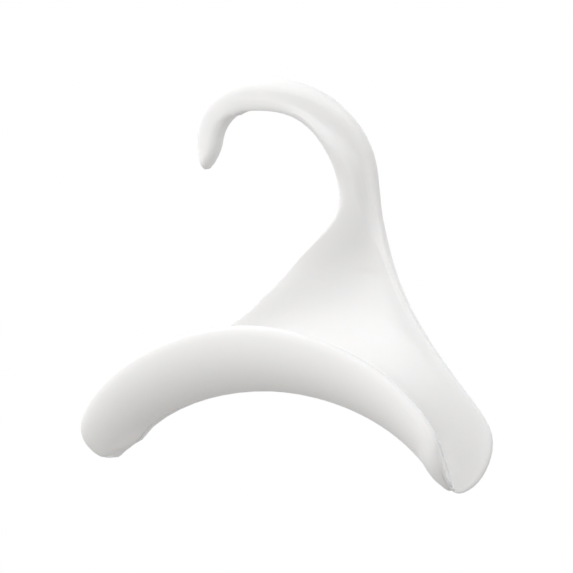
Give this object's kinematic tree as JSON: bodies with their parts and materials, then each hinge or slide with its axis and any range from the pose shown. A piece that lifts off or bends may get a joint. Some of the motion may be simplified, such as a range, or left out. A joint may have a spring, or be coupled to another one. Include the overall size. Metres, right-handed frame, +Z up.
{
  "type": "handbag hanger",
  "caption": "Rigid hanger for a handbag: open C hook on a dished panel, with an arched trough that the bag's handles lie in.",
  "frame": {"origin": "rail's seat: the lowest-hanging point of the hook's inner side, in the middle of its depth", "axes": "+Z up, -Y to the front where the trough opens, +X to the right seen from the front; the hook opens to -X"},
  "size_m": [0.1829, 0.037, 0.1594],
  "materials": {
    "panel_plastic": "white, satin moulded",
    "trough_plastic": "white, satin moulded"
  },
  "bodies": {
    "root": {"hook_panel": "panel_plastic", "handle_trough": "trough_plastic"}
  },
  "joints": []
}
